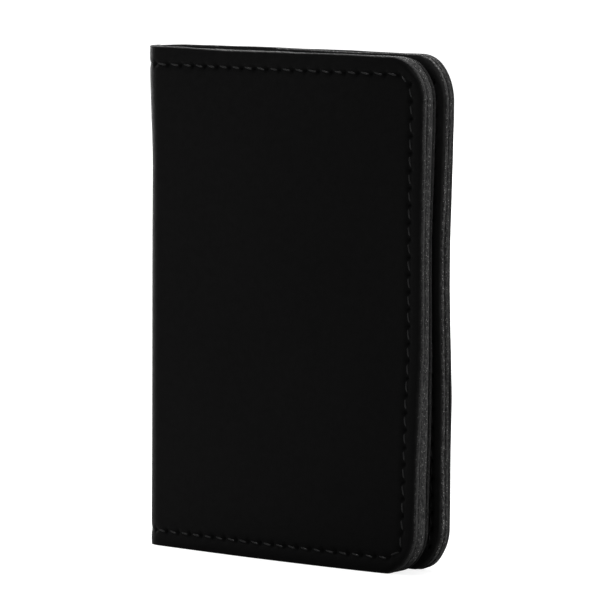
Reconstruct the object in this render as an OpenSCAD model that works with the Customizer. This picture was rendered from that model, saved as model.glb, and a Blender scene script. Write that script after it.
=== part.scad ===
// Bifold card wallet in stitched leather, standing on its lower edges.
// Units: millimetres. +Z is up along the fold. The fold is at -X, the free edges
// at +X, the front cover faces -Y and the back cover faces +Y. The origin is the
// centre of the footprint.

/* [Wallet] */
// Height of the wallet along the fold
wallet_height = 102; // [90:1:120]
// Width of the closed wallet, from the outside of the fold to the free edges
wallet_width = 75; // [70:1:95]
// Radius of the rounded corners at the free edges
corner_radius = 8.5; // [6:0.5:10]
// Air between the facing free edges of the two covers when the wallet is closed
rest_gap = 3.2; // [2.6:0.2:6]

/* [Leather] */
// Thickness of the outer shell leather
shell_thickness = 1.3; // [1.2:0.1:1.5]
// Thickness of the lining leather
lining_thickness = 1; // [0.8:0.1:1.1]
// Thickness of the sewn pocket panels
panel_thickness = 1.3; // [1.2:0.1:1.6]
// Thickness of the skived card slips behind the pocket panels
slip_thickness = 0.6; // [0.5:0.1:0.7]

/* [Fold] */
// Outer radius of the two soft corners that make the fold
fold_radius = 3.2; // [3:0.1:3.6]
// Slit between the leather parts that turn on one another
turn_slit = 0.3; // [0.2:0.05:0.4]

/* [Card pockets] */
// Distance from the outside of the fold to the mouth of the card slip
slip_mouth = 17; // [13:1:19]
// Distance from the outside of the fold to the mouth of the pocket panel
panel_mouth = 29; // [26:1:32]
// Depth of the card slip's pocket, from its mouth to its tacked end
slip_depth = 46.5; // [20:0.5:48]
// Width of the flat sewn rim around the raised field of the pocket panel
rim_width = 6; // [5:0.5:8]

/* [Stitching] */
// Distance from one saddle stitch to the next
stitch_pitch = 3.4; // [3:0.1:4.2]
// Distance from the stitch line to the cut edge
stitch_margin = 3.2; // [3:0.1:4]
// Radius of the stitch line at the rounded corners
stitch_corner = 3.5; // [3:0.5:4.5]
// Length of one stitch
stitch_length = 2.7; // [2:0.1:2.8]
// Width of the waxed thread
thread_width = 0.6; // [0.5:0.05:0.7]
// Slant of each stitch against the stitch line, in degrees
stitch_slant = 10; // [0:1:12]

/* [Hidden] */
$fn = 48;
// Cover: shell, lining and sewn rim of the pocket panel
cover_thickness = shell_thickness + lining_thickness + panel_thickness;
half_depth = cover_thickness + rest_gap / 2;
fold_x = -wallet_width / 2;
free_x = wallet_width / 2;
// Centre line of each soft corner, where the flat part of a cover starts
turn_x = fold_x + fold_radius;
turn_y = half_depth - fold_radius;
slit_shift = turn_slit / sqrt(2);
// Depths counted inward from the outer face of a cover
lining_depth = shell_thickness;
pocket_depth = shell_thickness + lining_thickness;
field_depth = pocket_depth + slip_thickness;
// Stitching groove and the thread laid in it
groove_depth = 0.4;
// The groove takes the slanted stitches, and its width is a whole number of tenths
groove_width = ceil(10 * (thread_width + stitch_length * sin(stitch_slant))) / 10;
thread_sink = 0.05;
core_width = 0.3;
core_sink = 0.2;
slip_groove_depth = 0.3;
// Card slip
slip_x = fold_x + slip_mouth;
panel_x = fold_x + panel_mouth;
slip_end_x = slip_x + slip_depth;
panel_wall = 0.7;
slip_clearance = 0.3;
slip_inset = rim_width + panel_wall + slip_clearance;
tack_inset = 1.6;
// Stitch positions along the top and bottom rows and along the free edge
stitch_gap = stitch_pitch - stitch_length;
line_corner = stitch_margin + stitch_corner;
row_end_x = free_x - line_corner;
row_count = floor((row_end_x - turn_x) / stitch_pitch);
column_count = floor((wallet_height - 2 * line_corner) / stitch_pitch);
corner_angle = 45;
spare = 2;

shell_color = [0.06, 0.06, 0.065];
lining_color = [0.1, 0.095, 0.095];
slip_color = [0.12, 0.115, 0.11];
panel_color = [0.08, 0.08, 0.085];
thread_color = [0.2, 0.2, 0.2];

// ---- shared outlines ----

// Face of a cover in X and Z, open to the fold, drawn in by a distance
module face_outline(inset, r = corner_radius) {
    left = fold_x - spare;
    right = free_x - inset;
    top = wallet_height - inset;
    translate([left, inset]) square([right - r - left, top - inset]);
    translate([left, inset + r]) square([right - left, top - inset - 2 * r]);
    for (z = [inset + r, top - r]) translate([right - r, z]) circle(r = r);
}

// A layer of the front cover between two depths, over a flat shape in X and Z
module front_layer(from, to) {
    translate([0, to - half_depth, 0]) rotate([90, 0, 0])
        linear_extrude(height = to - from) children();
}

// Footprint of everything inside a given depth, with the soft fold corners
module fold_outline(depth) {
    r = fold_radius - depth;
    half = half_depth - depth;
    translate([turn_x, -half]) square([wallet_width, 2 * half]);
    translate([fold_x + depth, -turn_y]) square([wallet_width, 2 * turn_y]);
    for (y = [-turn_y, turn_y]) translate([turn_x, y]) circle(r = r);
}

// Footprint of a leather layer between two depths
module fold_band(from, to) {
    difference() {
        fold_outline(from);
        fold_outline(to);
    }
}

// Part of the footprint that turns with the front cover
module front_side() {
    reach = half_depth + spare;
    polygon([
        [turn_x + slit_shift, -turn_y],
        [turn_x + slit_shift - reach, -turn_y - reach],
        [free_x + spare, -turn_y - reach],
        [free_x + spare, -turn_y]
    ]);
}

// Part of the footprint that belongs to the spine
module spine_side() {
    reach = fold_radius + spare;
    polygon([
        [turn_x - slit_shift, -turn_y],
        [turn_x - slit_shift, turn_y],
        [turn_x - slit_shift - reach, turn_y + reach],
        [turn_x - slit_shift - reach, -turn_y - reach]
    ]);
}

// Leather of the front cover between two depths, with its part of the fold
module front_leather(from, to) {
    front_layer(from, to) between(turn_x, free_x) face_outline(0);
    linear_extrude(height = wallet_height) intersection() {
        fold_band(from, to);
        front_side();
        translate([fold_x, -half_depth]) square([fold_radius, half_depth]);
    }
}

module spine_leather(from, to) {
    linear_extrude(height = wallet_height) intersection() {
        fold_band(from, to);
        spine_side();
    }
}

// ---- stitching ----

// Track along the stitch line, of a given width, in X and Z
module stitch_track(width) {
    difference() {
        face_outline(stitch_margin - width / 2, stitch_corner + width / 2);
        face_outline(stitch_margin + width / 2, stitch_corner - width / 2);
    }
}

module between(x_from, x_to) {
    intersection() {
        children();
        translate([x_from, 0]) square([x_to - x_from, wallet_height]);
    }
}

// One stitch in X and Z, slanted against the stitch line
module stitch(x, z, angle, slant = stitch_slant) {
    translate([x, z]) rotate(angle - slant)
        square([stitch_length, thread_width], center = true);
}

// Stitches of the top and bottom rows that lie between two X values
module row_stitches(x_from, x_to) {
    for (i = [0 : row_count - 1]) {
        x = row_end_x - (i + 0.5) * stitch_pitch;
        if (x - stitch_length / 2 > x_from && x + stitch_length / 2 < x_to)
            for (z = [stitch_margin, wallet_height - stitch_margin]) stitch(x, z, 0);
    }
}

// Stitches around the free corners and along the free edge
module edge_stitches() {
    start = wallet_height / 2 - (column_count - 1) * stitch_pitch / 2;
    for (i = [0 : column_count - 1])
        stitch(free_x - stitch_margin, start + i * stitch_pitch, 90, -stitch_slant);
    x = row_end_x + stitch_corner * sin(corner_angle);
    rise = line_corner - stitch_corner * cos(corner_angle);
    stitch(x, rise, corner_angle, 0);
    stitch(x, wallet_height - rise, -corner_angle, 0);
}

// Straight runs of the groove on the front cover between two depths
module front_groove(from, to, x_from, x_to) {
    front_layer(from, to) between(x_from, x_to) stitch_track(groove_width);
}

// Thread on the front cover: a core along the groove with the stitches on it
module front_thread(core_from, core_to, from, to, x_from, x_to) {
    front_layer(core_from, core_to) between(x_from, x_to) stitch_track(core_width);
    front_layer(from, to) {
        row_stitches(x_from, x_to);
        if (x_to > free_x - stitch_margin) edge_stitches();
    }
}

// The two stitch rows swept around the fold between two depths
module fold_rows(from, to, width) {
    for (z = [stitch_margin, wallet_height - stitch_margin])
        translate([0, 0, z - width / 2]) linear_extrude(height = width) intersection() {
            fold_band(from, to);
            translate([fold_x - spare, -half_depth - spare])
                square([fold_radius + spare, 2 * (half_depth + spare)]);
            children();
        }
}

// Thread around the fold: a core with a gap between one stitch and the next
module fold_thread(outer, inner) {
    fold_rows(outer, inner, core_width) children();
    difference() {
        fold_rows(outer, inner, thread_width) children();
        for (y = [-1, 1] * stitch_pitch / 2)
            translate([fold_x - spare, y - stitch_gap / 2, 0])
                cube([fold_radius + spare, stitch_gap, wallet_height]);
    }
}

// ---- the pieces ----

// Outer leather of the front cover, with a stitching groove in its outer face
module front_cover_shell() {
    color(shell_color) difference() {
        front_leather(0, shell_thickness);
        front_groove(-spare, groove_depth, turn_x, free_x);
        fold_rows(-spare, groove_depth, groove_width) front_side();
    }
}

module spine_shell() {
    color(shell_color) difference() {
        spine_leather(0, shell_thickness);
        fold_rows(-spare, groove_depth, groove_width) spine_side();
    }
}

module back_cover_shell() {
    mirror([0, 1, 0]) front_cover_shell();
}

// Lining, with a groove in its inner face for the stitches the pockets leave bare
module front_cover_lining() {
    color(lining_color) difference() {
        front_leather(lining_depth, pocket_depth);
        front_groove(pocket_depth - groove_depth, pocket_depth + spare, turn_x, slip_x);
        fold_rows(pocket_depth - groove_depth, pocket_depth, groove_width) front_side();
    }
}

module spine_lining() {
    color(lining_color) difference() {
        spine_leather(lining_depth, pocket_depth);
        fold_rows(pocket_depth - groove_depth, pocket_depth, groove_width) spine_side();
    }
}

module back_cover_lining() {
    mirror([0, 1, 0]) front_cover_lining();
}

// T-shaped card slip: its head is caught in the seams, its body lies in the pocket
module front_card_slip() {
    color(slip_color) difference() {
        front_layer(pocket_depth, field_depth) {
            between(slip_x, panel_x) face_outline(0);
            translate([slip_x, slip_inset])
                square([slip_depth, wallet_height - 2 * slip_inset]);
        }
        front_groove(field_depth - slip_groove_depth, field_depth + spare, slip_x, panel_x);
        front_layer(field_depth - slip_groove_depth, field_depth + spare)
            tack_line(groove_width, slip_clearance);
    }
}

module back_card_slip() {
    mirror([0, 1, 0]) front_card_slip();
}

// Line that tacks the end of the card slip to the lining
module tack_line(width, extra) {
    ends = slip_inset + stitch_pitch - extra;
    translate([slip_end_x - tack_inset - width / 2, ends])
        square([width, wallet_height - 2 * ends]);
}

// Pocket panel: a sewn rim on three sides and a field raised over the card slip
module front_pocket_panel() {
    color(panel_color) difference() {
        union() {
            front_layer(pocket_depth, cover_thickness) between(panel_x, free_x) face_outline(0);
            front_layer(field_depth, cover_thickness + slip_thickness)
                panel_field(rim_width);
        }
        front_layer(pocket_depth - spare, field_depth) panel_field(rim_width + panel_wall);
        front_groove(cover_thickness - groove_depth, cover_thickness + spare, panel_x, free_x);
    }
}

module panel_field(inset) {
    left = panel_x - (inset > rim_width ? spare : 0);
    translate([left, inset])
        square([free_x - inset - left, wallet_height - 2 * inset]);
}

module back_pocket_panel() {
    mirror([0, 1, 0]) front_pocket_panel();
}

// Saddle stitching of a cover, on its outer face and on its inner faces
module front_cover_thread() {
    inner = cover_thickness - thread_sink;
    inner_slip = field_depth - thread_sink;
    inner_lining = pocket_depth - thread_sink;
    color(thread_color) {
        front_thread(core_sink, groove_depth, thread_sink, groove_depth, turn_x, free_x);
        fold_thread(thread_sink, groove_depth) front_side();
        front_thread(cover_thickness - groove_depth, cover_thickness - core_sink,
                     cover_thickness - groove_depth, inner, panel_x, free_x);
        front_thread(field_depth - slip_groove_depth, field_depth - core_sink,
                     field_depth - slip_groove_depth, inner_slip, slip_x, panel_x);
        front_thread(pocket_depth - groove_depth, pocket_depth - core_sink,
                     pocket_depth - groove_depth, inner_lining, turn_x, slip_x);
        fold_thread(pocket_depth - groove_depth, inner_lining) front_side();
    }
}

module spine_thread() {
    color(thread_color) {
        fold_thread(thread_sink, groove_depth) spine_side();
        fold_thread(pocket_depth - groove_depth, pocket_depth - thread_sink) spine_side();
    }
}

module back_cover_thread() {
    mirror([0, 1, 0]) front_cover_thread();
}

module front_slip_thread() {
    count = floor((wallet_height - 2 * (slip_inset + stitch_pitch)) / stitch_pitch);
    start = wallet_height / 2 - (count - 1) * stitch_pitch / 2;
    color(thread_color) {
        front_layer(field_depth - slip_groove_depth, field_depth - core_sink)
            tack_line(core_width, 0);
        front_layer(field_depth - slip_groove_depth, field_depth - thread_sink)
            for (i = [0 : count - 1])
                stitch(slip_end_x - tack_inset, start + i * stitch_pitch, 90, -stitch_slant);
    }
}

module back_slip_thread() {
    mirror([0, 1, 0]) front_slip_thread();
}

front_cover_shell();
spine_shell();
back_cover_shell();
front_cover_lining();
spine_lining();
back_cover_lining();
front_card_slip();
back_card_slip();
front_pocket_panel();
back_pocket_panel();
front_cover_thread();
spine_thread();
back_cover_thread();
front_slip_thread();
back_slip_thread();
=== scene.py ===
import bpy
import math
import numpy as np
from mathutils import Matrix, Vector


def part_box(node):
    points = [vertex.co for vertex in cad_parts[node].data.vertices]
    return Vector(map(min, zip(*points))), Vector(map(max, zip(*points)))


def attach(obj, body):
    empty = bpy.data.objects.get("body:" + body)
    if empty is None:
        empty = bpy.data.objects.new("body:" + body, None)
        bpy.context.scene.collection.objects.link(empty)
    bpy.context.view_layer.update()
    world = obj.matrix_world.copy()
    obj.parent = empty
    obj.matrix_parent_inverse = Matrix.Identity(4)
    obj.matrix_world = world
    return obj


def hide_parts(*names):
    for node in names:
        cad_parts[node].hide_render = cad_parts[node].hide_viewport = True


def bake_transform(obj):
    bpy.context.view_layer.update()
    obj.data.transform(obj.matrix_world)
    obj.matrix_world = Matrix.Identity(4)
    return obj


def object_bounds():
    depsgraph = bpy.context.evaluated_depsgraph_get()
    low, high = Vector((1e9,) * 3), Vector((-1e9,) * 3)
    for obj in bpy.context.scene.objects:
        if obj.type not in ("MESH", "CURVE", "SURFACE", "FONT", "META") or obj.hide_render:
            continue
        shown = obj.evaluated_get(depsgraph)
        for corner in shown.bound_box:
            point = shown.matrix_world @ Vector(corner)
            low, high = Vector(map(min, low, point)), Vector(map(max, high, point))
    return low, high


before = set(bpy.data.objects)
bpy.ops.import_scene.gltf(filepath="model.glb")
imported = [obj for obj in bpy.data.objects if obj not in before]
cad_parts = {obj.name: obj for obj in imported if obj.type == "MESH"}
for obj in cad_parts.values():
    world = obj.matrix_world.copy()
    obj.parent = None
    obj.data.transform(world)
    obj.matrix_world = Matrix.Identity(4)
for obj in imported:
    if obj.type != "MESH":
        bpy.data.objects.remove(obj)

cad_lo, cad_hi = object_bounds()
MM = 0.001

# ---- sizes in millimetres, from the CAD frame ----
HEIGHT = (cad_hi.z - cad_lo.z) / MM
FOLD_X = cad_lo.x / MM
FREE_X = cad_hi.x / MM
HALF_DEPTH = cad_hi.y / MM
PANEL_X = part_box("front_pocket_panel")[0].x / MM
SLIP_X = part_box("front_card_slip")[0].x / MM
SLIP_END_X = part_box("front_card_slip")[1].x / MM
CORNER_RADIUS = 8.5
STITCH_CORNER = 3.5      # radius of the stitch line at a corner
STITCH_MARGIN = 3.2
STITCH_PITCH = 3.4
RIM = 6.0                # sewn rim of the pocket panel
SHELL_THICK = 1.3
LINING_THICK = 1.0
SLIP_THICK = 0.6
PANEL_THICK = {-1: 1.2, 1: 0.95}    # front and back cover
SLIP_INSET = 7.0         # the body of the slip is this much shorter at its top and bottom
TACK_MARGIN = 1.6        # tack stitches from the end of the slip
ROUND = 0.26             # how far a cut edge bulges past the faces of its sheet
THREAD_RADIUS = 0.175
STEP = 0.1               # spacing of the samples of a plan curve
GRID = 0.6               # spacing of the columns and rows of a sheet
EDGE_BAND = 12.0         # width of the strip that takes up the shape of a top or bottom edge
RING = 7                 # divisions across a cut edge
UV_SCALE = 100.0         # millimetres of leather in one unit of UV
INNER_UV_SHIFT = 130.0   # keeps the pattern of an inner face apart from that of its outer face
EDGE_UV_SHIFT = 4.3      # the same for the cut edges of different sheets


def smooth(t):
    t = np.clip(t, 0.0, 1.0)
    return t * t * (3 - 2 * t)


def ease(t, start, end):
    """Smooth step from 0 at start to 1 at end. The end may be the lower of the two."""
    return smooth((t - start) / (end - start))


def wave(t, seed, size):
    """Slow unevenness of a hand-cut edge, in millimetres."""
    r = np.random.RandomState(seed)
    total = np.zeros_like(np.asarray(t, float))
    for period, part in ((83.0, 1.0), (41.0, 0.7), (21.0, 0.45), (9.1, 0.2)):
        total += part * np.sin(2 * math.pi * (t / period + r.uniform()))
    return total * size


# ---- plan of a cover: where the leather runs, seen from above ----

class Plan:
    """Outer face of one half of the wallet, from the middle of the fold (arc length 0) to the free edge.

    side is -1 for the front cover and 1 for the back cover. The bows are the slope of the cover in degrees at the
    fold and at the free edge, and squareness is how unevenly the leather turns round the fold.
    """

    def __init__(self, side, bow_start, bow_end, squareness):
        self.side = side
        low, high = 3.0, 30.0
        for _ in range(50):
            self.fold = (low + high) / 2
            self.trace(bow_start, bow_end, squareness, 90.0)
            if np.interp(self.fold, self.s, self.q) < HALF_DEPTH:
                low = self.fold
            else:
                high = self.fold
        self.length = float(np.interp(FREE_X, self.x, self.s))
        self.trace(bow_start, bow_end, squareness, self.length)
        self.holes = self.stitch_holes()

    def trace(self, bow_start, bow_end, squareness, length):
        """Follows the leather from the middle of the fold: first round it, then along the slightly bowed cover."""
        s = np.arange(0.0, length + 4.0, STEP)
        u = np.clip(s / self.fold, 0, 1)
        turn = (1 - squareness) * u + squareness * smooth(u)
        cover = np.clip((s - self.fold) / (length - self.fold), 0, 1.1)
        heading = np.where(u < 1, 90 - (90 - bow_start) * turn, bow_start + (bow_end - bow_start) * cover)
        h = np.radians(heading)
        self.s, self.h = s, h
        self.x = FOLD_X + np.concatenate([[0], np.cumsum((np.cos(h[1:]) + np.cos(h[:-1])) / 2 * STEP)])
        self.q = np.concatenate([[0], np.cumsum((np.sin(h[1:]) + np.sin(h[:-1])) / 2 * STEP)])

    def at_x(self, x):
        return float(np.interp(x, self.x, self.s))

    def place(self, s, depth, z):
        """Points in metres at arc length s, at a depth below the outer face, and at height z."""
        h = np.interp(s, self.s, self.h)
        soft = 0.07 * ease(s, 8, 28) * (np.sin(s / 11.0 + self.side) * np.sin(z / 17.0 + 1.0)
                                        + 0.6 * np.sin(s / 6.3 + z / 13.0))
        depth = depth + soft
        x = np.interp(s, self.s, self.x) + np.sin(h) * depth - self.flare(s, z)
        q = np.interp(s, self.s, self.q) - np.cos(h) * depth + self.sway(z) * ease(s, 6, 70) ** 0.7
        return np.stack([x, self.side * q, z + 0 * x], -1) * MM

    def flare(self, s, z):
        """The fold spreads a little towards its top."""
        return (0.22 * ease(z, 10, 70) + 1.1 * ease(z, 76, 104)) * (1 - ease(s, 0, 16))

    def sway(self, z):
        """How far the free edge stands out at each height: neither cover is quite flat."""
        if self.side < 0:
            return -0.4 - 0.38 * ease(z, 70, 98) + 0.62 * ease(z, 46, 32) + 0.9 * ease(z, 42, 2)
        return 0.15 + ease(z, 62, 94) + 0.85 * ease(z, 58, 32) - 0.2 * ease(z, 14, 0)

    def edge_distance(self, s, z, end):
        """Distance from points on the cover to the cut outline that ends at arc length end."""
        across, up = s - (end - CORNER_RADIUS), np.abs(z - HEIGHT / 2) - (HEIGHT / 2 - CORNER_RADIUS)
        straight = CORNER_RADIUS - np.maximum(across, up)
        return np.where((across > 0) & (up > 0), CORNER_RADIUS - np.hypot(across, up), straight)

    def stitch_holes(self):
        """Awl holes (arc length, height, direction) along the top, down the free edge and back along the bottom."""
        r, turn = STITCH_CORNER, STITCH_MARGIN + STITCH_CORNER
        run, column, arc = self.length - turn, HEIGHT - 2 * turn, math.pi * r / 2
        total = 2 * (run + arc) + column
        holes = []
        for p in np.linspace(0, total, round(total / STITCH_PITCH) + 1):
            mirrored = p > total / 2
            d = total - p if mirrored else p
            if d <= run:
                spot, a = (d, HEIGHT - STITCH_MARGIN), 0.0
            elif d <= run + arc:
                a = (d - run) / r
                spot = (run + r * math.sin(a), HEIGHT - turn + r * math.cos(a))
            else:
                spot, a = (self.length - STITCH_MARGIN, HEIGHT - turn - (d - run - arc)), math.pi / 2
            holes.append((spot[0], HEIGHT - spot[1], a - math.pi) if mirrored else (spot[0], spot[1], -a))
        return np.array(holes)

    def line_distance(self, s, z):
        """Distance from points on the cover to the stitch line."""
        turn = STITCH_MARGIN + STITCH_CORNER
        across, up = s - (self.length - turn), np.abs(z - HEIGHT / 2) - (HEIGHT / 2 - turn)
        corner = np.abs(np.hypot(across, up) - STITCH_CORNER)
        straight = np.abs(STITCH_CORNER - np.maximum(across, up))
        return np.where((across > 0) & (up > 0), corner, straight)

    def dents(self, s, z):
        """How far the stitching presses the face in, and how near each point is to an awl hole."""
        hole_size, hole_depth, groove_width, groove_depth = 0.42, 0.5, 0.65, 0.12
        d = self.line_distance(s, z)
        marks = np.zeros_like(s)
        near = np.flatnonzero(d < 1.6)
        best = np.zeros(len(near))
        for hole_s, hole_z, _ in self.holes:
            away = np.hypot(s[near] - hole_s - 0.12, z[near] - hole_z)
            best = np.maximum(best, np.exp(-(away / hole_size) ** 2))
        marks[near] = best
        return groove_depth * np.exp(-(d / groove_width) ** 2) + hole_depth * marks, marks


FRONT = Plan(-1, 3.0, -4.8, 0.3)
BACK = Plan(1, 1.0, -1.0, 0.3)


# ---- thickness of the layers, from the outer face inward ----

def shell_thickness(plan, s):
    return SHELL_THICK - (0.0 if plan is FRONT else 0.25) * ease(s, 6, 18)


def lining_thickness(plan, s, z):
    """The lining of the front cover is thicker, and swells towards the top and bottom of the free edge."""
    if plan is BACK:
        return LINING_THICK - 0.05 * ease(s, 6, 20)
    swell = 1.05 * ease(z, 48, 30) + 0.45 * ease(z, 66, 78)
    return LINING_THICK + 0.5 * ease(s, 6, 20) + swell * ease(s, 30, 68)


def lining_face(plan, s, z):
    return shell_thickness(plan, s) + lining_thickness(plan, s, z)


def panel_lift(plan, s, z):
    """The field of the pocket panel stands over the card slip, inside its sewn rim."""
    return (SLIP_THICK + 0.12) * smooth((plan.edge_distance(s, z, plan.length) - RIM + 0.4) / 2.0)


def top_rise(plan, s):
    """How far the top edge stands above the CAD height: more at the fold and on the back cover than on the front."""
    return 0.48 + (0.15 if plan is BACK else -0.23) * ease(s, 0, 30)


# ---- a sheet of leather as a closed mesh ----

def places(start, end, marks, step, near=(0.15, 0.35, 0.6)):
    """Sample places at an even step, with four close ones about each mark and a few near both ends."""
    found = [start, end]
    found += [start + o for o in near] + [end - o for o in near]
    for p in sorted(m + o for m in marks for o in (-0.48, -0.16, 0.16, 0.48)):
        if start + 0.15 < p < end - 0.15 and min(abs(p - q) for q in found) > 0.2:
            found.append(p)
    for p in np.arange(start + step, end, step):
        if min(abs(p - q) for q in found) > 0.25:
            found.append(p)
    return np.unique(found)


def column_places(plan, s0, s1, rounded):
    row_holes = plan.holes[np.abs(plan.holes[:, 2]) < 1e-6][:, 0]
    stop = s1 - CORNER_RADIUS if rounded else s1
    base = places(s0, stop, row_holes[(row_holes > s0) & (row_holes < stop)], GRID)
    if s0 == 0:
        # a very narrow first column gives both halves the same normals where they meet
        base = np.concatenate([[0.0, 0.02], base[1:]])
    if rounded:
        arc = CORNER_RADIUS * np.sin(np.linspace(0, math.pi / 2, 24))
        line = plan.length - STITCH_MARGIN + np.array([-0.9, -0.5, -0.17, 0.17, 0.5, 0.9])
        extra = [p for p in line if np.min(np.abs(stop + arc - p)) > 0.12]
        base = np.unique(np.concatenate([base, stop + arc, extra]))
    return base


def row_places(plan):
    column_holes = plan.holes[np.abs(plan.holes[:, 2] + math.pi / 2) < 1e-6][:, 1]
    rows = np.concatenate([column_holes, [STITCH_MARGIN, HEIGHT - STITCH_MARGIN]])
    return places(0.0, HEIGHT, rows, GRID)


def leather_sheet(name, plan, s0, s1, depth, thickness, materials, inset=0.0, seed=1, rounded=True, seam=False,
                  dent_outer=False, dent_inner=False, uneven=0.05, crease=0.0, shorten=None, worn=(0.0, 0.0),
                  lip_shades=(0.5, 0.5)):
    """A sheet of leather between arc lengths s0 and s1.

    depth(s, z) and thickness(s, z) are counted from the outer face of the cover inward. A sheet with a seam is half
    of one that goes on round the fold. worn is how far each face thins towards the edge, lips how much painted shade
    darkens each lip of the cut edge where it meets the next layer, crease how deep the groove along the cut edge is
    (its middle is painted with shade too), and shorten(s) how far its top and bottom are drawn in.
    """
    s, v = column_places(plan, s0, s1, rounded), row_places(plan)
    n, m = len(s), len(v)
    r = CORNER_RADIUS
    reach = np.clip(s - (s1 - r), 0, r) if rounded else 0 * s
    lift = r - np.sqrt(np.maximum(r * r - reach ** 2, 0))
    gap = inset + ROUND + lift + (shorten(s) if shorten else 0)
    low = gap - ROUND + 0.04 + 0.3 * (uneven + wave(plan.side * s, seed, uneven))
    high = HEIGHT - gap + top_rise(plan, s) + wave(plan.side * s, seed + 1, uneven)
    turn = np.arcsin(np.clip(reach / r, 0, 1))
    S = np.repeat(s[:, None], m, 1)
    low, high, band = low[:, None], high[:, None], EDGE_BAND
    Z = np.repeat(v[None, :], n, 0)
    Z = np.where(Z < band, low + (band - low) * Z / band, Z)
    Z = np.where(Z > HEIGHT - band, high - (high - HEIGHT + band) * (HEIGHT - Z) / band, Z)
    S = S - ease(S, s1 - 5, s1) * (inset + ROUND + wave(Z, seed + 2, uneven * 1.5))
    if not seam:
        S = S + ease(S, s0 + 5, s0) * (ROUND + (wave(Z, seed + 3, uneven * 0.5) if rounded else 0))
    S, Z = S.ravel(), Z.ravel()
    dent, marks = plan.dents(S, Z)
    top = depth(S, Z)
    near = np.exp(-np.maximum(plan.edge_distance(S, Z, s1) - inset - ROUND, 0) / 0.3) if rounded else 0 * S
    near = near * (0.2 + 0.8 * ease(S, s1 - 9, s1 - 2))
    faces_depth = [top + (dent if dent_outer else 0) + worn[0] * near,
                   top + thickness(S, Z) - (dent if dent_inner else 0) - worn[1] * near]
    points = [plan.place(S, d, Z) for d in faces_depth]
    flat = np.stack([S, Z], -1)
    # the hole marks paint shade into the awl holes of the dented faces
    uv, pit = [flat, flat + [0, INNER_UV_SHIFT]], [marks * dent_outer, marks * dent_inner]
    # the lip marks carry painted shade onto the lips of the cut edge
    lip = [np.full(len(S), lip_shades[0]), np.full(len(S), lip_shades[1])]
    # round the outline: bottom edge, free edge, top edge, and the near edge where the sheet is cut there
    bottom = [(i * m, (math.sin(turn[i]), -math.cos(turn[i]))) for i in range(n)]
    right = [((n - 1) * m + j, (1.0, 0.0)) for j in range(1, m - 1)]
    upper = [(i * m + m - 1, (math.sin(turn[i]), math.cos(turn[i]))) for i in range(n - 1, -1, -1)]
    walk = bottom + right + upper
    if not seam:
        walk += [(j, (-1.0, 0.0)) for j in range(m - 2, 0, -1)]
    index = np.array([w[0] for w in walk])
    aim = np.array([w[1] for w in walk])
    if not rounded:
        for k in (n - 1, n + m - 2):
            aim[k] = (0.7, aim[k][1] * 0.7)
    if not seam:
        aim[0], aim[2 * n + m - 3] = (-0.7, -0.7), (-0.7, 0.7)
    along = np.concatenate([[0], np.cumsum(np.hypot(np.diff(S[index]), np.diff(Z[index])))])
    rings, count = [index], 2 * n * m
    for k in range(1, RING):
        # rounded profile of the cut edge, from the outer face (share 0) to the inner one (share 1)
        a = math.pi * k / RING
        share = (1 - math.copysign(abs(math.cos(a)) ** 0.75, math.cos(a))) / 2
        off = ROUND * math.sin(a) ** 0.55 - crease * math.exp(-((share - 0.5) / 0.12) ** 2)
        d = faces_depth[0][index] * (1 - share) + faces_depth[1][index] * share
        points.append(plan.place(S[index] + aim[:, 0] * off, d, Z[index] + aim[:, 1] * off))
        uv.append(np.zeros((len(index), 2)))
        pit.append(np.zeros(len(index)))
        # painted shade: each lip of the cut edge, where it meets the next layer, is painted darker, and so is the
        # middle of a creased edge
        at_face = abs(2 * share - 1) ** 3 * (lip_shades[0] if share < 0.5 else lip_shades[1])
        lip.append(np.full(len(index), at_face + 0.6 * math.exp(-((share - 0.5) / 0.1) ** 2) * (crease > 0)))
        rings.append(np.arange(count, count + len(index)))
        count += len(index)
    rings.append(index + n * m)
    grid = np.arange(n * m).reshape(n, m)
    quads = np.stack([grid[:-1, :-1], grid[1:, :-1], grid[1:, 1:], grid[:-1, 1:]], -1).reshape(-1, 4)
    faces = [quads, (quads + n * m)[:, ::-1]]
    kinds = [np.zeros(2 * len(quads), int)]
    here = np.arange(len(index) - (1 if seam else 0))
    after = np.roll(np.arange(len(index)), -1)
    strip_uv = []
    end = np.append(along, along[-1] + 0.5)
    for k, (a, b) in enumerate(zip(rings[:-1], rings[1:])):
        faces.append(np.stack([a[here], b[here], b[after[here]], a[after[here]]], -1))
        kinds.append(np.ones(len(here), int))
        across = thickness(S[index][here], Z[index][here])
        t0, t1 = (seed * EDGE_UV_SHIFT + across * share for share in (k / RING, (k + 1) / RING))
        u0, u1 = end[here], end[here + 1]
        strip_uv.append(np.stack([np.stack([u0, t0], -1), np.stack([u0, t1], -1),
                                  np.stack([u1, t1], -1), np.stack([u1, t0], -1)], 1))
    points, faces = np.concatenate(points), np.concatenate(faces)
    corner_uv = np.concatenate(uv)[faces]
    corner_uv[2 * len(quads):] = np.concatenate(strip_uv)
    marks = {"pit": np.concatenate(pit), "lip": np.concatenate(lip),
             "rim": rim_marks(plan, S, Z, s1, np.tile(aim[:, 0] > -0.5, RING - 1))}
    if seam:
        cap = seam_cap(grid[0], grid[0] + n * m, rings)
        used, local = np.unique(cap, return_inverse=True)
        faces = np.concatenate([faces, local.reshape(cap.shape) + len(points)])
        points = np.concatenate([points, points[used]])
        marks = {mark: np.concatenate([values, values[used]]) for mark, values in marks.items()}
        corner_uv = np.concatenate([corner_uv, np.zeros((len(cap), 4, 2))])
        kinds.append(np.ones(len(cap), int))
    return build(name, points, faces, np.concatenate(kinds), corner_uv, materials, plan is BACK, **marks)


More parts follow.
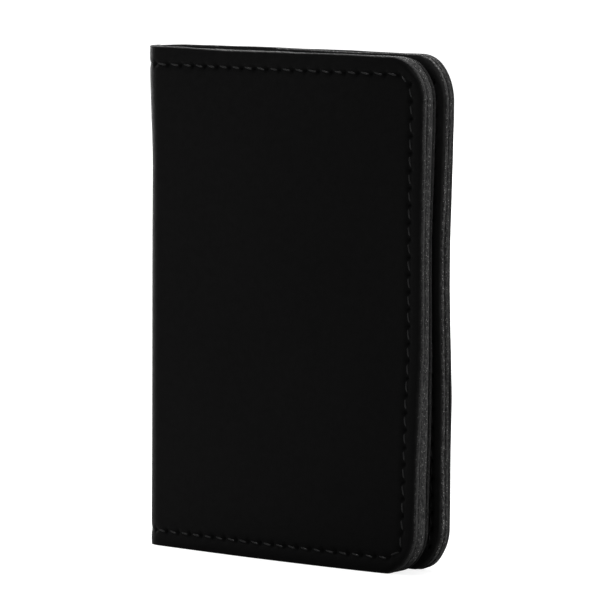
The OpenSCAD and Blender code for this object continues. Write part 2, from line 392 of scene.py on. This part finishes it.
def seam_cap(outer, inner, rings):
    """Quads that close a half of the wallet where it meets the other half, inside the leather."""
    quads = [np.stack([outer[:-1], outer[1:], inner[1:], inner[:-1]], -1)]
    low, high = ([ring[end] for ring in rings] for end in (0, -1))
    for k in range(RING // 2):
        quads.append([[low[RING - k], low[RING - 1 - k], low[k + 1], low[k]],
                      [high[k], high[k + 1], high[RING - 1 - k], high[RING - k]]])
    return np.concatenate(quads)


def rim_marks(plan, S, Z, s1, outer):
    """How near each point of the faces is to the worn outline. On the cut edge, outer is false at a pocket mouth."""
    near = np.exp(-np.maximum(plan.edge_distance(S, Z, s1), 0) / 0.9)
    near = near * (0.45 + 0.55 * ease(S, s1 - 9, s1 - 2))
    return np.concatenate([near, near, outer])


def build(name, points, faces, kinds, corner_uv, materials, flip, **marks):
    """Mesh object of quads, with UVs in leather millimetres and named point marks."""
    if flip:
        faces, corner_uv = faces[:, ::-1], corner_uv[:, ::-1]
    mesh = bpy.data.meshes.new(name)
    mesh.vertices.add(len(points))
    mesh.vertices.foreach_set("co", points.astype(np.float32).ravel())
    mesh.loops.add(faces.size)
    mesh.loops.foreach_set("vertex_index", np.ascontiguousarray(faces, dtype=np.int32).ravel())
    mesh.polygons.add(len(faces))
    mesh.polygons.foreach_set("loop_start", np.arange(0, faces.size, 4, dtype=np.int32))
    mesh.polygons.foreach_set("material_index", kinds.astype(np.int32))
    mesh.polygons.foreach_set("use_smooth", np.ones(len(faces), bool))
    layer = mesh.uv_layers.new(name="leather")
    layer.data.foreach_set("uv", np.ascontiguousarray(corner_uv / UV_SCALE, dtype=np.float32).ravel())
    for mark, values in marks.items():
        mesh.attributes.new(mark, "FLOAT", "POINT").data.foreach_set("value", values.astype(np.float32))
    for material in materials:
        mesh.materials.append(material)
    mesh.update(calc_edges=True)
    obj = bpy.data.objects.new(name, mesh)
    bpy.context.scene.collection.objects.link(obj)
    return obj


# ---- saddle stitches ----

def stitches(name, plan, runs, materials, seed):
    """Stitches between neighbouring holes.

    A run is (holes, depth of the face that the stitches lie on, +1 for an inner face or -1 for the outer face).
    """
    rng = np.random.RandomState(seed)
    t = np.linspace(0, 1, 13)
    theta = np.arange(12) / 12 * 2 * math.pi
    points, faces, uvs, count = [], [], [], 0
    ring = len(theta)
    for holes, face_depth, proud in runs:
        for a, b in zip(holes[:-1], holes[1:]):
            span = b[:2] - a[:2]
            length = math.hypot(*span)
            ahead = span / length
            # every stitch leans from upper left to lower right, seen from outside the front cover
            aside = np.array([-ahead[1], ahead[0]])
            homeward = ahead[0] <= -0.7
            lean = (0.3 + rng.uniform(-0.06, 0.06)) * (1 if ahead[0] > abs(ahead[1]) else -1)
            lean = -lean if homeward else lean
            path = a[:2] + np.outer(t * 0.9 + 0.04, span) + np.outer((1 - 2 * t) * lean, aside)
            # the thread dives into the holes, and stands proud towards its right or lower end
            ends = np.abs(2 * t - 1)
            proud_end = np.cos(math.pi * t) * (1 if homeward else -1)
            tilt = 0.14 if abs(ahead[0]) > 0.9 else 0.06
            height = rng.uniform(-0.03, 0.03) + tilt * proud_end - 0.75 * ends ** 3
            width = THREAD_RADIUS * (1 - 0.25 * ends ** 5)
            ply = 1 + 0.07 * np.cos(2 * theta[None, :] + 2 * math.pi * (t * length)[:, None] / 1.1)
            across = np.cos(theta)[None, :] * width[:, None] * ply
            rise = height[:, None] + np.sin(theta)[None, :] * width[:, None] * 0.78 * ply
            s = path[:, 0][:, None] + aside[0] * across
            z = path[:, 1][:, None] + aside[1] * across
            d = face_depth(np.maximum(s, 0), z) + proud * rise
            points.append(plan.place(np.abs(s), d, z).reshape(-1, 3))
            grid = np.arange(len(t) * ring).reshape(len(t), ring)
            nxt = np.roll(grid, -1, 1)
            side = np.stack([grid[:-1], grid[1:], nxt[1:], nxt[:-1]], -1).reshape(-1, 4)
            half = ring // 2
            cap = np.array([[i, i + 1, ring - 2 - i, ring - 1 - i] for i in range(half - 1)])
            local = np.concatenate([side, cap, (cap + (len(t) - 1) * ring)[:, ::-1]])
            if proud < 0:
                local = local[:, ::-1]
            u = np.repeat(t * length, ring) + 10 * rng.uniform()
            v = np.tile(theta / (2 * math.pi) * 1.9, len(t))
            uvs.append(np.stack([u, v], -1)[local])
            faces.append(local + count)
            count += len(t) * ring
    faces = np.concatenate(faces)
    points = np.concatenate(points)
    return build(name, points, faces, np.zeros(len(faces), int), np.concatenate(uvs), materials, plan is BACK,
                 pit=np.zeros(len(points)))


def inner_face(plan, s, z):
    """Depth of the innermost face that the perimeter stitches lie on."""
    slip = (s > plan.at_x(SLIP_X)) & (s < plan.at_x(PANEL_X))
    panel = s >= plan.at_x(PANEL_X)
    return lining_face(plan, s, z) + SLIP_THICK * slip + PANEL_THICK[plan.side] * panel


# ---- materials ----

class Graph:
    """Short way to write a material's nodes."""

    def __init__(self, name):
        self.material = bpy.data.materials.new(name)
        self.material.use_nodes = True
        self.tree = self.material.node_tree
        self.tree.nodes.clear()
        self.shader = self.add("ShaderNodeBsdfPrincipled")
        output = self.add("ShaderNodeOutputMaterial")
        self.tree.links.new(self.shader.outputs[0], output.inputs["Surface"])

    def add(self, kind, inputs=None, **settings):
        node = self.tree.nodes.new(kind)
        for key, value in settings.items():
            setattr(node, key, value)
        for key, value in (inputs or {}).items():
            self.put(node.inputs[key], value)
        return node

    def put(self, socket, value):
        if isinstance(value, bpy.types.NodeSocket):
            self.tree.links.new(value, socket)
        else:
            socket.default_value = value

    def uv(self, scale=(1, 1, 1)):
        source = self.add("ShaderNodeUVMap", uv_map="leather").outputs[0]
        if scale == (1, 1, 1):
            return source
        return self.add("ShaderNodeMapping", {"Vector": source, "Scale": scale}).outputs[0]

    def mark(self, name):
        return self.add("ShaderNodeAttribute", attribute_name=name).outputs["Fac"]

    def noise(self, where, scale, detail=4.0, roughness=0.55, distortion=0.0):
        return self.add("ShaderNodeTexNoise", {"Vector": where, "Scale": scale, "Detail": detail,
                                               "Roughness": roughness, "Distortion": distortion}).outputs[0]

    def cells(self, where, scale):
        return self.add("ShaderNodeTexVoronoi", {"Vector": where, "Scale": scale}).outputs["Distance"]

    def span(self, value, low, high, to_low=0.0, to_high=1.0):
        return self.add("ShaderNodeMapRange", {"Value": value, "From Min": low, "From Max": high,
                                               "To Min": to_low, "To Max": to_high},
                        interpolation_type="SMOOTHSTEP").outputs[0]

    def maths(self, operation, a, b):
        return self.add("ShaderNodeMath", {0: a, 1: b}, operation=operation).outputs[0]

    def mix(self, share, a, b):
        node = self.add("ShaderNodeMix", data_type="RGBA")
        # sockets 6 and 7 are the colour inputs A and B
        for socket, value in (("Factor", share), (6, a), (7, b)):
            self.put(node.inputs[socket], value)
        return node.outputs[2]

    def bump(self, height, strength, distance, under=None):
        node = self.add("ShaderNodeBump", {"Height": height, "Strength": strength, "Distance": distance * MM})
        if under is not None:
            self.tree.links.new(under, node.inputs["Normal"])
        return node.outputs[0]

    def finish(self, **inputs):
        for key, value in inputs.items():
            self.put(self.shader.inputs[key.replace("_", " ")], value)
        return self.material


def grey(value, warmth=0.0):
    return (value * (1 + warmth), value, value * (1 - warmth), 1.0)


def smooth_leather(name, dark, light, specular, roughness, grain=0.45, specks=False):
    """Black dyed and finished leather: fine pores, faint clouding, worn along its cut edges, and painted shade in
    its awl holes.
    """
    g = Graph(name)
    where = g.uv()
    clouds = g.noise(where, 4.0, 5.0, 0.6)
    mottle = g.noise(where, 55.0, 4.0, 0.6)
    tone = g.maths("ADD", g.span(clouds, 0.3, 0.7, 0.0, 0.6), g.span(mottle, 0.3, 0.7, 0.0, 0.4))
    colour = g.mix(tone, grey(dark, 0.02), grey(light, 0.02))
    worn = g.maths("MULTIPLY", g.span(g.mark("rim"), 0.3, 0.95), g.span(mottle, 0.35, 0.65, 0.5, 1.0))
    colour = g.mix(worn, colour, grey(light * 4 + 0.006, 0.02))
    # painted shade: the awl holes are painted near-black, darker than the leather round them
    colour = g.mix(g.span(g.mark("pit"), 0.2, 0.75), colour, grey(0.0009))
    if specks:
        lint = g.span(g.cells(where, 9.0), 0.008, 0.016, 1.0, 0.0)
        colour = g.mix(g.maths("MULTIPLY", lint, 0.5), colour, grey(0.06))
    pores = g.cells(where, 100 / grain)
    grainy = g.noise(where, 130.0, 5.0, 0.65)
    creased = g.noise(g.uv((1.0, 0.16, 1.0)), 60.0, 4.0, 0.6)
    rough = g.span(g.maths("ADD", g.maths("MULTIPLY", mottle, 0.6), g.maths("MULTIPLY", grainy, 0.4)),
                   0.3, 0.7, roughness - 0.07, roughness + 0.07)
    normal = g.bump(pores, 0.35, 0.02)
    normal = g.bump(grainy, 0.5, 0.03, normal)
    normal = g.bump(creased, 0.25, 0.05, normal)
    return g.finish(Base_Color=colour, Roughness=rough, Normal=normal, Specular_IOR_Level=specular)


def cut_edge(name, dark, light, specular=0.25):
    """Dyed cut edge of leather: layered fibres that run along it, with pale fibre ends and dark nicks, and painted
    shade at its lips and along its groove.
    """
    g = Graph(name)
    streaks = g.noise(g.uv((1.0, 6.0, 1.0)), 75.0, 6.0, 0.65, 0.4)
    fibres = g.noise(g.uv((1.0, 2.0, 1.0)), 300.0, 4.0, 0.7)
    flecks = g.cells(g.uv((1.0, 1.8, 1.0)), 190.0)
    nicks = g.cells(g.uv((1.0, 1.5, 1.0)), 120.0)
    patches = g.noise(g.uv(), 14.0, 3.0, 0.6)
    tone = g.maths("MULTIPLY", g.span(streaks, 0.36, 0.66), g.span(fibres, 0.36, 0.64, 0.22, 1.0))
    tone = g.maths("MULTIPLY", tone, g.span(patches, 0.3, 0.7, 0.7, 1.15))
    colour = g.mix(tone, grey(dark, 0.01), grey(light, 0.02))
    colour = g.mix(g.span(flecks, 0.05, 0.26, 1.0, 0.0), colour, grey(light * 3.8, 0.02))
    colour = g.mix(g.span(nicks, 0.16, 0.46, 0.9, 0.0), colour, grey(dark * 0.5))
    # painted shade at the lips of the cut edge and along the middle of its groove
    colour = g.mix(g.span(g.mark("lip"), 0.15, 1.0, 0.0, 0.85), colour, grey(dark * 0.5))
    colour = g.mix(g.span(g.mark("rim"), 0.0, 0.5), grey(dark), colour)
    normal = g.bump(streaks, 0.6, 0.12)
    normal = g.bump(fibres, 0.7, 0.08, normal)
    return g.finish(Base_Color=colour, Roughness=g.span(fibres, 0.3, 0.7, 0.65, 0.85), Normal=normal,
                    Specular_IOR_Level=specular)


def waxed_thread(name):
    """Black waxed thread: two plies laid round each other, with fine filaments."""
    g = Graph(name)
    plies = g.add("ShaderNodeTexWave", {"Vector": g.uv((1.0, 0.55, 1.0)), "Scale": 28.0, "Distortion": 0.6,
                                        "Detail": 2.0, "Detail Scale": 3.0},
                  wave_type="BANDS", bands_direction="DIAGONAL").outputs["Fac"]
    filaments = g.noise(g.uv((1.0, 9.0, 1.0)), 160.0, 4.0, 0.6)
    tone = g.maths("MULTIPLY", g.span(plies, 0.1, 0.9, 0.45, 1.0), g.span(filaments, 0.3, 0.7, 0.6, 1.1))
    colour = g.mix(tone, grey(0.002), grey(0.007, 0.02))
    normal = g.bump(filaments, 0.4, 0.03, g.bump(plies, 0.5, 0.06))
    return g.finish(Base_Color=colour, Roughness=g.span(filaments, 0.3, 0.7, 0.32, 0.46), Normal=normal,
                    Specular_IOR_Level=0.4)


SHELL = smooth_leather("black_shell_leather", 0.0018, 0.003, 0.075, 0.52, specks=True)
LINING = smooth_leather("black_lining_leather", 0.014, 0.022, 0.25, 0.6, 0.6)
POCKET = smooth_leather("black_pocket_leather", 0.012, 0.018, 0.25, 0.55, 0.5)
SLIP = smooth_leather("black_slip_leather", 0.018, 0.028, 0.25, 0.62, 0.4)
THREAD = waxed_thread("black_waxed_thread")
# the cut edges of the inner layers are lit and shaded copies of one edge: "inner" (front pocket panel and card
# slips) is painted darker as shade, "back_inner" (back pocket panel) is painted brighter as light
EDGES = {
    "shell": cut_edge("cut_edge_shell", 0.01, 0.06),
    "middle": cut_edge("cut_edge_middle", 0.009, 0.09, specular=0.2),
    "inner": cut_edge("cut_edge_inner_painted_shade", 0.005, 0.022, specular=0.08),
    "back_inner": cut_edge("cut_edge_back_inner_painted_light", 0.012, 0.17),
}


# ---- the wallet ----

def cover(side, plan, insets, lip_shades):
    """All the leather and thread of one cover, with its half of the spine.

    insets are those of the shell, the lining and the pocket panel, and lips the painted shade on each lip of
    their cut edges. The back cover's pieces replace the nodes of the whole spine.
    """
    body = f"{side}_cover"
    free = plan.length
    seeds = 10 if plan is FRONT else 40

    def outer(s, z):
        return 0 * s

    def shell_body(s, z):
        return shell_thickness(plan, s) - 0.02

    def under_shell(s, z):
        return shell_thickness(plan, s)

    def lining_body(s, z):
        return lining_thickness(plan, s, z)

    def panel_depth(s, z):
        return lining_face(plan, s, z) + 0.03 + panel_lift(plan, s, z)

    shell = leather_sheet(f"{side}_cover_and_spine_leather", plan, 0.0, free, outer, shell_body,
                          [SHELL, EDGES["shell"]], insets[0], 3, seam=True, dent_outer=True, worn=(0.32, 0.0),
                          lip_shades=lip_shades[0])
    lining = leather_sheet(f"{side}_lining_leather", plan, 0.0, free, under_shell, lining_body,
                           [LINING, EDGES["middle"]], insets[1], 7, seam=True, dent_inner=True, crease=0.05,
                           lip_shades=lip_shades[1])
    panel_s, slip_s, slip_end = plan.at_x(PANEL_X), plan.at_x(SLIP_X), plan.at_x(SLIP_END_X)
    # the front panel's cut edge takes the copy painted darker as shade, the back panel's the copy painted brighter
    # as light
    panel = leather_sheet(f"{side}_pocket_panel_leather", plan, panel_s, free, panel_depth,
                          lambda s, z: PANEL_THICK[plan.side] + 0 * s,
                          [POCKET, EDGES["back_inner" if plan is BACK else "inner"]], insets[2], seeds + 4,
                          dent_inner=True, worn=(0.0, 0.15), lip_shades=lip_shades[2])
    # the slip's cut edge takes the copy painted darker as shade
    slip = leather_sheet(f"{side}_card_slip_leather", plan, slip_s, slip_end,
                         lambda s, z: lining_face(plan, s, z) + 0.02, lambda s, z: SLIP_THICK + 0 * s,
                         [SLIP, EDGES["inner"]], insets[1], seeds + 6, rounded=False, dent_inner=True,
                         uneven=0.03, shorten=lambda s: SLIP_INSET * smooth((s - panel_s - 0.6) / 1.2))
    thread = stitches(f"{side}_cover_stitching", plan,
                      [(plan.holes, lambda s, z: 0.1 + 0 * s, -1),
                       (plan.holes, lambda s, z: inner_face(plan, s, z) - 0.1, 1)], [THREAD], seeds)
    low = SLIP_INSET + STITCH_PITCH
    count = round((HEIGHT - 2 * low) / STITCH_PITCH)
    line = np.array([(slip_end - TACK_MARGIN, z, -math.pi / 2) for z in np.linspace(HEIGHT - low, low, count + 1)])
    tack = stitches(f"{side}_slip_tack_stitching", plan,
                    [(line, lambda s, z: lining_face(plan, s, z) + SLIP_THICK - 0.12, 1)], [THREAD], seeds + 1)
    for piece, kind, finish in ((shell, "shell", "outer_leather"), (lining, "lining", "lining_leather"),
                                (thread, "thread", "waxed_thread")):
        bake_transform(piece)
        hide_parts(f"{side}_cover_{kind}", *([f"spine_{kind}"] if plan is BACK else []))
    for piece, node, finish in ((panel, f"{side}_pocket_panel", "pocket_leather"),
                                (slip, f"{side}_card_slip", "slip_leather"),
                                (tack, f"{side}_slip_thread", "waxed_thread")):
        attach(piece, body)
        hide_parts(node)


# the last three pairs set the painted shade on the outer and inner lip of the cut edges of the shell, the lining and
# the pocket panel
cover("front", FRONT, (0.0, 0.05, 0.15), ((0.0, 0.4), (0.3, 0.9), (1.0, 0.4)))
cover("back", BACK, (0.1, 0.0, 0.12), ((0.4, 1.0), (0.9, 0.2), (0.1, 0.5)))


# ---- floor, light and camera ----

def floor_material():
    """Pale floor that looks white to the camera and throws only soft light back on the wallet."""
    g = Graph("pale_floor")
    where = g.add("ShaderNodeTexCoord").outputs["Object"]
    tone = g.noise(where, 3.0, 3.0)
    glow = g.add("ShaderNodeLightPath").outputs["Is Camera Ray"]
    return g.finish(Base_Color=g.mix(g.span(tone, 0.3, 0.7), grey(0.28), grey(0.3)), Roughness=0.8,
                    Specular_IOR_Level=0.1, Emission_Color=(1, 1, 1, 1),
                    Emission_Strength=g.maths("MULTIPLY", glow, 0.85))


bpy.ops.mesh.primitive_plane_add(size=30.0, location=(0, 0, 0))
floor = bpy.context.object
floor.name = "floor"
floor.data.materials.append(floor_material())

# white to the camera, dim as a source of light
world = bpy.data.worlds.new("studio")
bpy.context.scene.world = world
world.use_nodes = True
nodes, links = world.node_tree.nodes, world.node_tree.links
nodes.clear()
path = nodes.new("ShaderNodeLightPath")
share = nodes.new("ShaderNodeMixShader")
around, seen = nodes.new("ShaderNodeBackground"), nodes.new("ShaderNodeBackground")
around.inputs["Color"].default_value = (0.9, 0.95, 1.0, 1.0)
around.inputs["Strength"].default_value = 0.13
seen.inputs["Color"].default_value = (1.0, 1.0, 1.0, 1.0)
seen.inputs["Strength"].default_value = 1.0
out = nodes.new("ShaderNodeOutputWorld")
links.new(path.outputs["Is Camera Ray"], share.inputs[0])
links.new(around.outputs[0], share.inputs[1])
links.new(seen.outputs[0], share.inputs[2])
links.new(share.outputs[0], out.inputs["Surface"])


def lamp(name, kind, energy, place, aim, **settings):
    data = bpy.data.lights.new(name, kind)
    data.energy = energy
    for key, value in settings.items():
        setattr(data, key, value)
    obj = bpy.data.objects.new(name, data)
    obj.location = place
    obj.rotation_euler = (Vector(aim) - Vector(place)).to_track_quat("-Z", "Y").to_euler()
    bpy.context.scene.collection.objects.link(obj)
    return obj


middle = (0.0, 0.0, HEIGHT * MM / 2)
lamp("overhead", "SUN", 3.6, (-0.12, 0.08, 1.0), (0, 0, 0), angle=math.radians(40))
lamp("edge_light", "AREA", 1.15, (0.75, -0.05, 0.35), middle, shape="RECTANGLE", size=0.5, size_y=0.7)
lamp("front_fill", "AREA", 0.54, (-0.45, -0.5, 0.03), middle, shape="RECTANGLE", size=0.5, size_y=0.5)
backdrop = lamp("backdrop", "AREA", 18.0, (-1.1, 1.2, 0.4), middle, shape="RECTANGLE", size=1.4, size_y=0.7)
backdrop.visible_camera = False
lamp("back_fill", "AREA", 5.0, (0.35, 0.95, 0.3), middle, shape="RECTANGLE", size=0.6, size_y=0.6)
lamp("fold_light", "AREA", 5.2, (-0.85, 0.25, 0.35), middle, shape="RECTANGLE", size=0.4, size_y=0.7)

CAMERA_TURN = 42.8        # degrees round from straight in front
CAMERA_RISE = 4.66        # degrees above the horizon
CAMERA_ROLL = 0.35
CAMERA_DISTANCE = 1.219
CAMERA_AIM = Vector((-0.014, 0.0169, 0.0504))
a, e = math.radians(CAMERA_TURN), math.radians(CAMERA_RISE)
back = Vector((math.sin(a) * math.cos(e), -math.cos(a) * math.cos(e), math.sin(e)))
camera = bpy.data.objects.new("camera", bpy.data.cameras.new("camera"))
camera.data.lens = 356.7
camera.data.clip_end = 40
turn = back.to_track_quat("Z", "Y").to_matrix() @ Matrix.Rotation(math.radians(CAMERA_ROLL), 3, "Z")
camera.matrix_world = Matrix.Translation(CAMERA_AIM + back * CAMERA_DISTANCE) @ turn.to_4x4()
bpy.context.scene.collection.objects.link(camera)
bpy.context.scene.camera = camera
bpy.context.scene.view_settings.view_transform = "Standard"
bpy.context.scene.view_settings.look = "None"
